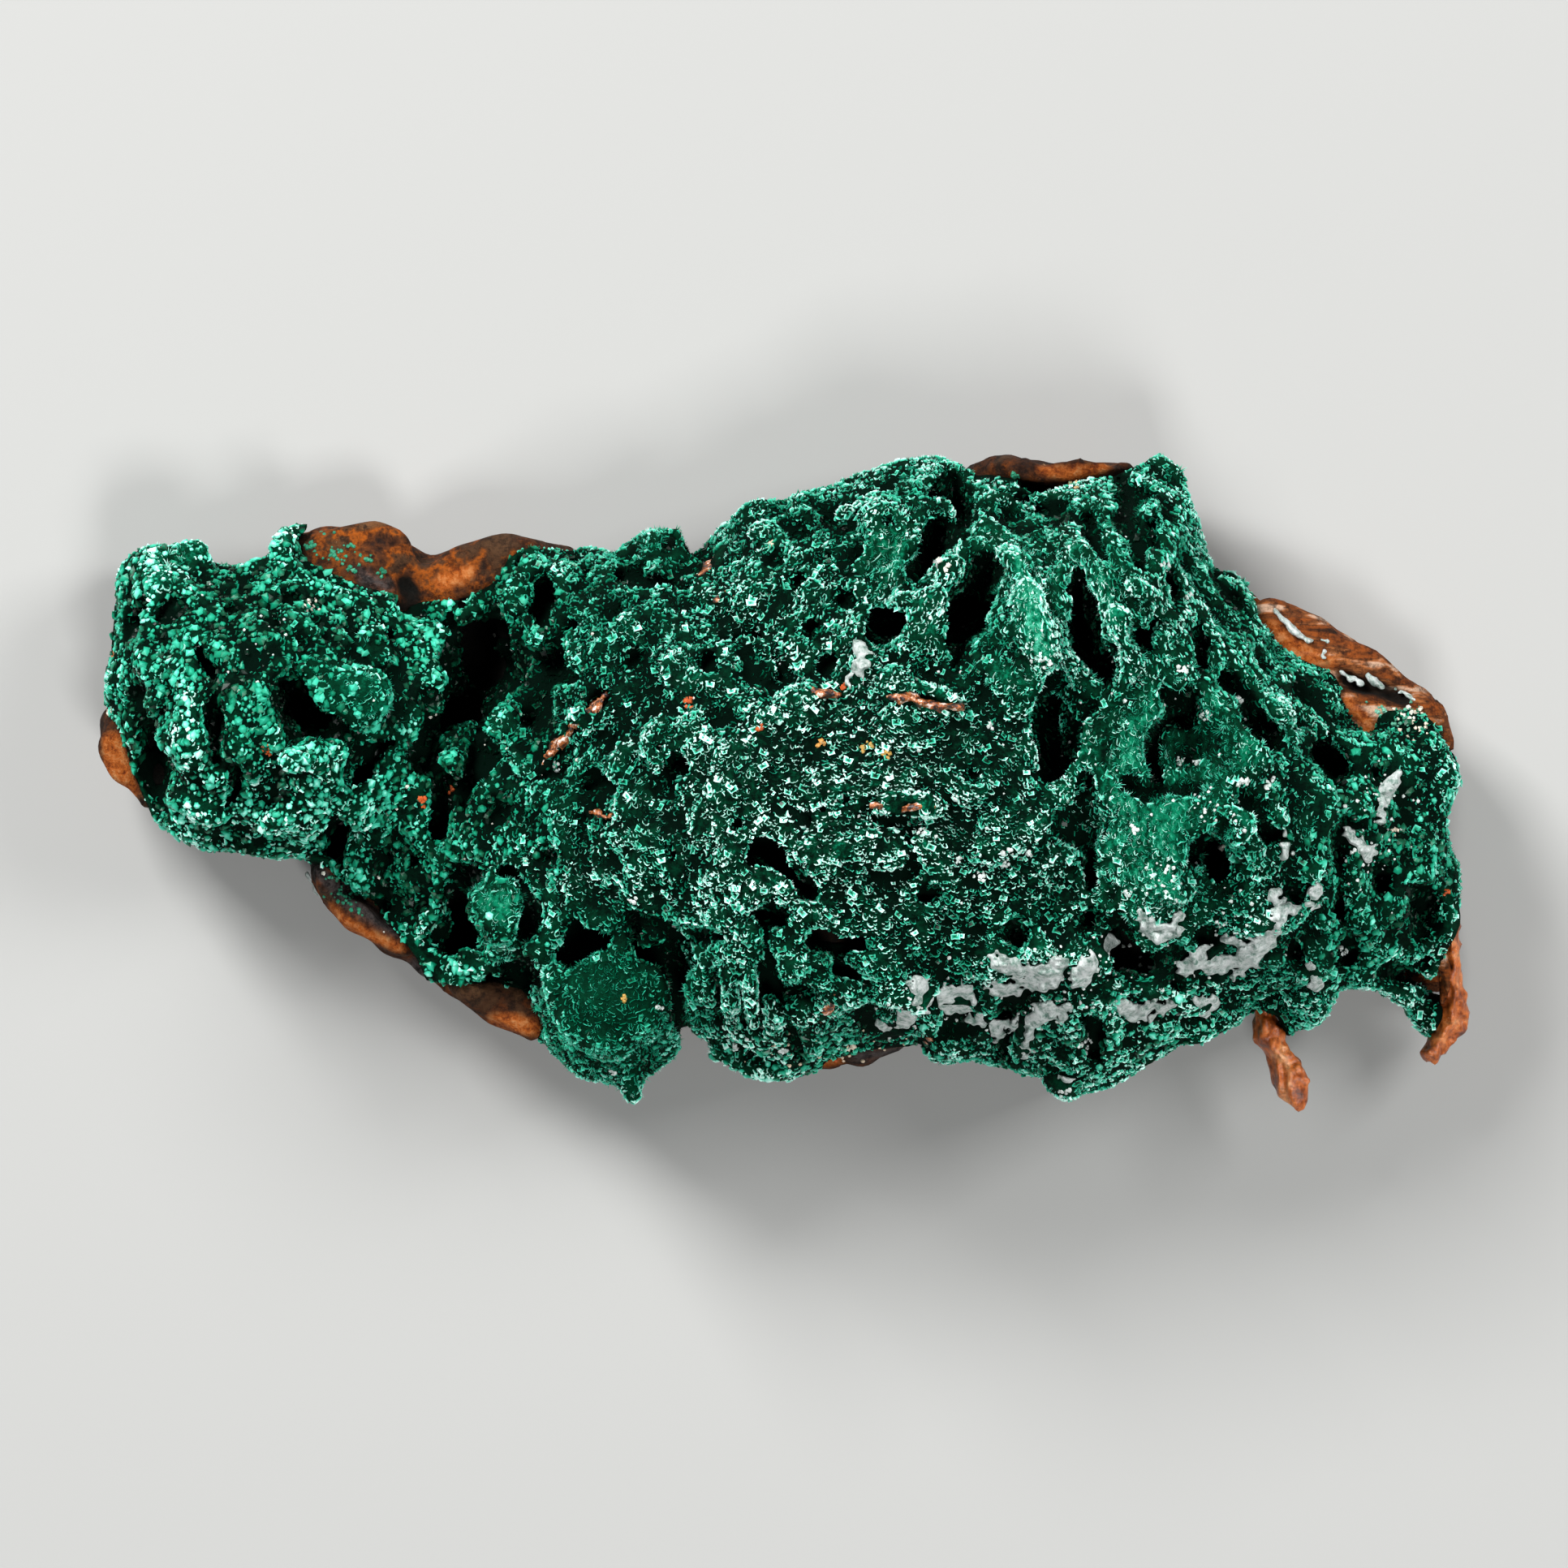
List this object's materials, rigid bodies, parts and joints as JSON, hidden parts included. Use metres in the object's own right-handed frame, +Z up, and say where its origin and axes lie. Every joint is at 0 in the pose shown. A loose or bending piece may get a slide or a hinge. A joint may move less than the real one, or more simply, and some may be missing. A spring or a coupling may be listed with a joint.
{
  "type": "malachite on barite specimen",
  "caption": "Hand specimen of intergrown barite blades with a thick green druse of malachite over the front, lying on its broken flat back.",
  "frame": {"origin": "middle of the specimen's box, on the surface it rests on", "axes": "+X along the length of the specimen, towards its thick end; +Y across it; +Z up, out of the coated front"},
  "size_m": [0.1, 0.0476, 0.032],
  "materials": {
    "barite": "iron-stained barite, satin with glossy cleavage faces",
    "malachite": "velvety microcrystalline malachite with silky bright tips"
  },
  "bodies": {
    "root": {"barite_matrix": "barite", "malachite_druse": "malachite"}
  },
  "joints": []
}
